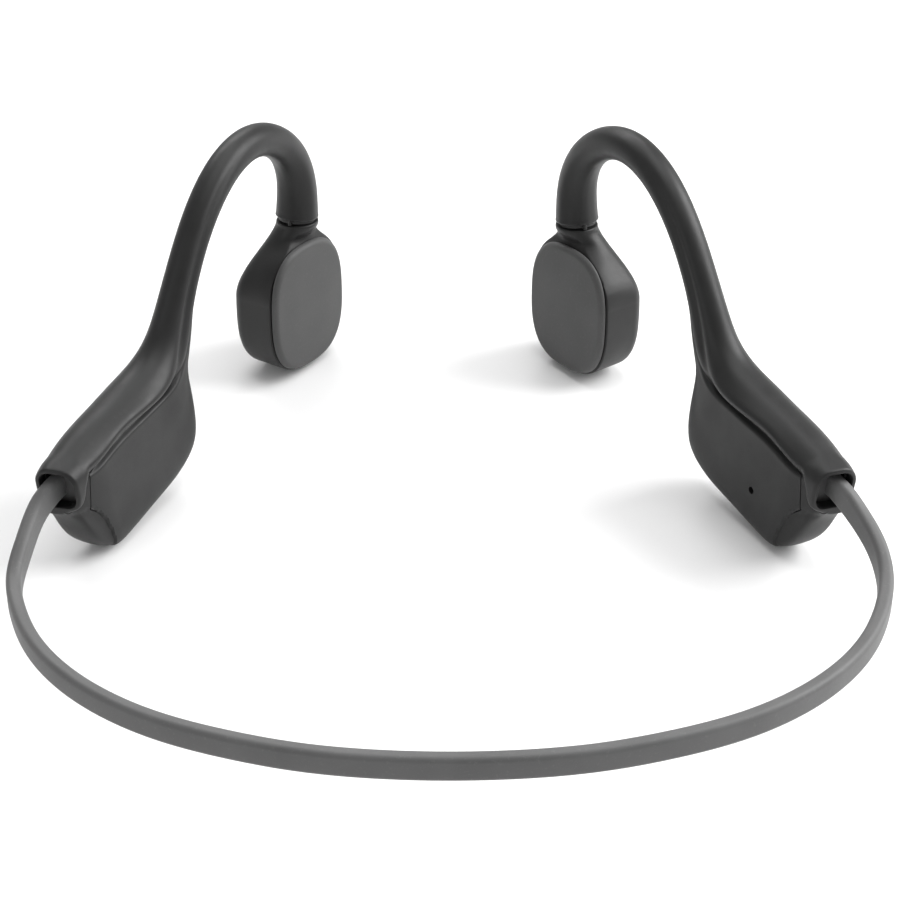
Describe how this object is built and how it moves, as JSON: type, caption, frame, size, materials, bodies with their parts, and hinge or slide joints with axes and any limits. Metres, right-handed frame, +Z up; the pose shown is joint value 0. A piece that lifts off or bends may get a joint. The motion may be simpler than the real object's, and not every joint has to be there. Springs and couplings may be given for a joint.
{
  "type": "bone conduction headphones",
  "caption": "Open-ear headphones: a springy neckband joins side pods with ear hooks and soft-faced transducers that rest on the cheekbones.",
  "frame": {"origin": "middle of the footprint, on the surface that the headphones stand on", "axes": "+X to the wearer's right, +Y the way the wearer looks, +Z up"},
  "size_m": [0.128, 0.129, 0.0486],
  "materials": {
    "soft_touch_shell": "soft-touch, satin",
    "silicone_skin": "matte silicone",
    "black_rubber": "matte",
    "spring_steel": "satin",
    "magnet": "nickel plated",
    "copper_wire": "enamelled copper",
    "gold_contact": "gold plated",
    "circuit_board": "solder mask",
    "battery_pouch": "foil",
    "foam": "closed-cell foam",
    "lead_jacket": "matte"
  },
  "bodies": {
    "neckband": {"neckband_skin_center": "silicone_skin", "memory_wire_center": "spring_steel", "signal_lead_center": "lead_jacket"},
    "left_arm": {"battery": "battery_pouch", "battery_foam": "foam", "charge_contact_block": "black_rubber", "charge_contact_front": "gold_contact", "charge_contact_rear": "gold_contact", "left_arm_shell": "soft_touch_shell", "left_band_gland": "black_rubber", "left_driver_bracket": "spring_steel", "left_driver_magnet": "magnet", "left_driver_yoke": "spring_steel", "left_hook_lead": "lead_jacket", "left_hook_spring_wire": "spring_steel", "left_neck_seal": "black_rubber", "left_pod_cover": "soft_touch_shell", "left_spring_plate": "spring_steel", "left_transducer_housing": "soft_touch_shell", "left_transducer_pad": "silicone_skin", "left_voice_coil": "copper_wire", "memory_wire_left": "spring_steel", "multifunction_switch": "spring_steel", "neckband_skin_left": "silicone_skin", "protection_board": "circuit_board", "signal_lead_left": "lead_jacket"},
    "right_arm": {"main_board": "circuit_board", "memory_wire_right": "spring_steel", "microphone": "spring_steel", "neckband_skin_right": "silicone_skin", "right_arm_shell": "soft_touch_shell", "right_band_gland": "black_rubber", "right_driver_bracket": "spring_steel", "right_driver_magnet": "magnet", "right_driver_yoke": "spring_steel", "right_hook_lead": "lead_jacket", "right_hook_spring_wire": "spring_steel", "right_neck_seal": "black_rubber", "right_pod_cover": "soft_touch_shell", "right_spring_plate": "spring_steel", "right_transducer_housing": "soft_touch_shell", "right_transducer_pad": "silicone_skin", "right_voice_coil": "copper_wire", "shield_can": "spring_steel", "signal_lead_right": "lead_jacket", "volume_down_switch": "spring_steel", "volume_up_switch": "spring_steel"},
    "volume_down_button": {"volume_down_key": "soft_touch_shell"},
    "volume_up_button": {"volume_up_key": "soft_touch_shell"},
    "multifunction_button": {"multifunction_key": "soft_touch_shell"}
  },
  "joints": [
    {"name": "left_flex", "type": "hinge", "parent": "neckband", "child": "left_arm", "pos_m": [-0.02801, -0.05913, 0.01198], "axis": [0, 0.0849, 0.9964], "range_deg": [-6, 28], "stiffness_Nm_per_rad": 0.18},
    {"name": "right_flex", "type": "hinge", "parent": "neckband", "child": "right_arm", "pos_m": [0.02799, -0.05913, 0.01198], "axis": [0, -0.0849, -0.9964], "range_deg": [-6, 28], "stiffness_Nm_per_rad": 0.18},
    {"name": "volume_down_press", "type": "slide", "parent": "right_arm", "child": "volume_down_button", "axis": [0.1262, -0.1357, 0.9827], "range_m": [0, 0.00035], "stiffness_N_per_m": 3000},
    {"name": "volume_up_press", "type": "slide", "parent": "right_arm", "child": "volume_up_button", "axis": [0.1262, -0.1357, 0.9827], "range_m": [0, 0.00035], "stiffness_N_per_m": 3000},
    {"name": "multifunction_press", "type": "slide", "parent": "left_arm", "child": "multifunction_button", "axis": [0.891, -0.4524, 0.0385], "range_m": [0, 0.00035], "stiffness_N_per_m": 3000}
  ]
}
